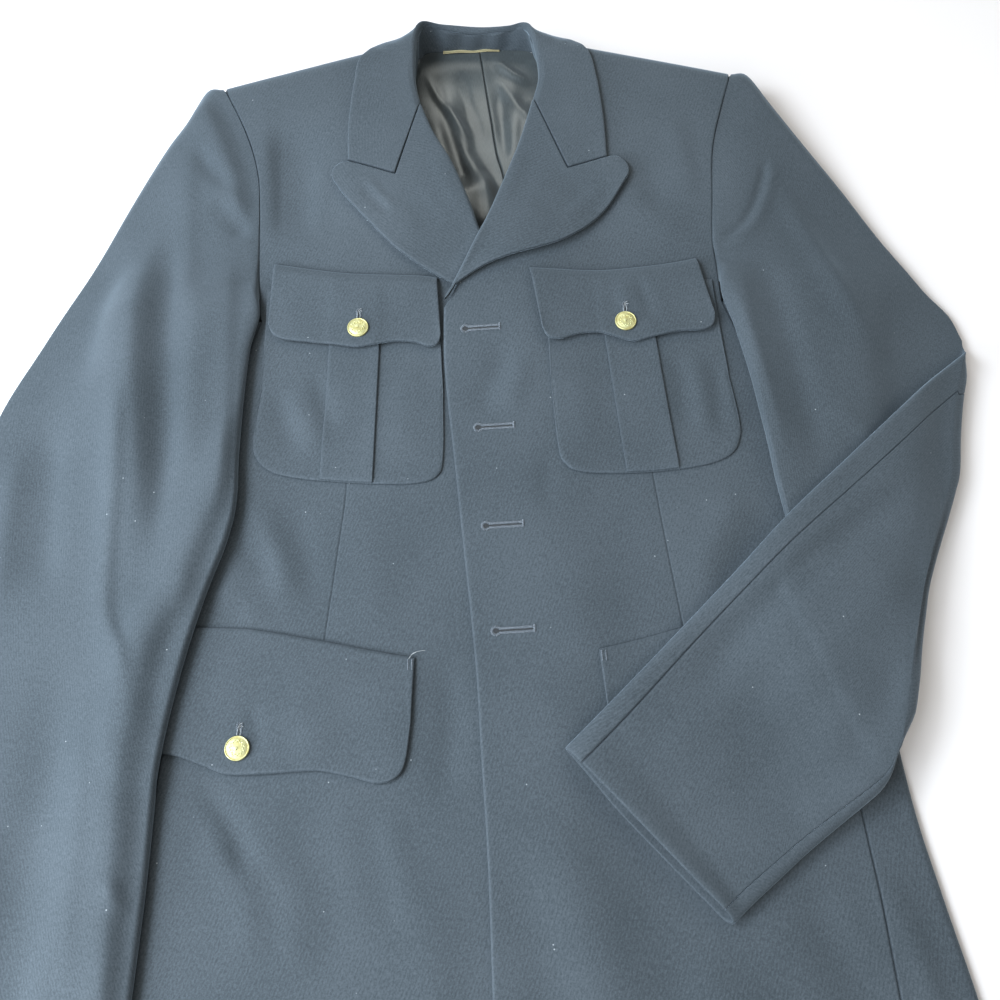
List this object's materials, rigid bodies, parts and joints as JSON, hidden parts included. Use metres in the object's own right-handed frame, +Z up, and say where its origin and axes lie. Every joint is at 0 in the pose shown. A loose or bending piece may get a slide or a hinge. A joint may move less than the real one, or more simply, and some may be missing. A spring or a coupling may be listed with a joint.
{
  "type": "dress uniform jacket",
  "caption": "Single-breasted peak-lapel dress uniform jacket laid flat on its back, with pleated patch pockets, flaps, metal buttons and one sleeve folded across the front.",
  "frame": {"origin": "on the underside of the back, on the surface that the jacket lies on, near the middle of the body between waist and chest", "axes": "+X towards the wearer's left, +Y towards the collar, +Z up from the surface"},
  "size_m": [0.7372, 0.8321, 0.0445],
  "materials": {
    "wool_cloth": "dark blue wool twill, matt with a soft nap",
    "satin_lining": "charcoal satin lining, softly shiny",
    "woven_label": "pale gold woven ribbon, blank",
    "gilt_metal": "gilt, lightly brushed, raised ornament"
  },
  "bodies": {
    "root": {"back_left": "wool_cloth", "back_right": "wool_cloth", "side_left": "wool_cloth", "side_right": "wool_cloth", "front_left": "wool_cloth", "front_right": "wool_cloth", "lining_back_left": "satin_lining", "lining_back_right": "satin_lining", "neck_label": "woven_label", "lapel_left": "wool_cloth", "lapel_right": "wool_cloth", "collar_stand": "wool_cloth", "collar_fall": "wool_cloth", "pocket_chest_left": "wool_cloth", "pocket_chest_right": "wool_cloth", "pleat_chest_left": "wool_cloth", "pleat_chest_right": "wool_cloth", "flap_chest_left": "wool_cloth", "flap_chest_right": "wool_cloth", "flap_hip_left": "wool_cloth", "flap_hip_right": "wool_cloth", "button_chest_left": "gilt_metal", "button_chest_right": "gilt_metal", "button_hip_left": "gilt_metal", "button_hip_right": "gilt_metal", "sleeve_top_left": "wool_cloth", "sleeve_top_right": "wool_cloth", "sleeve_under_left": "wool_cloth", "sleeve_under_right": "wool_cloth"}
  },
  "joints": []
}
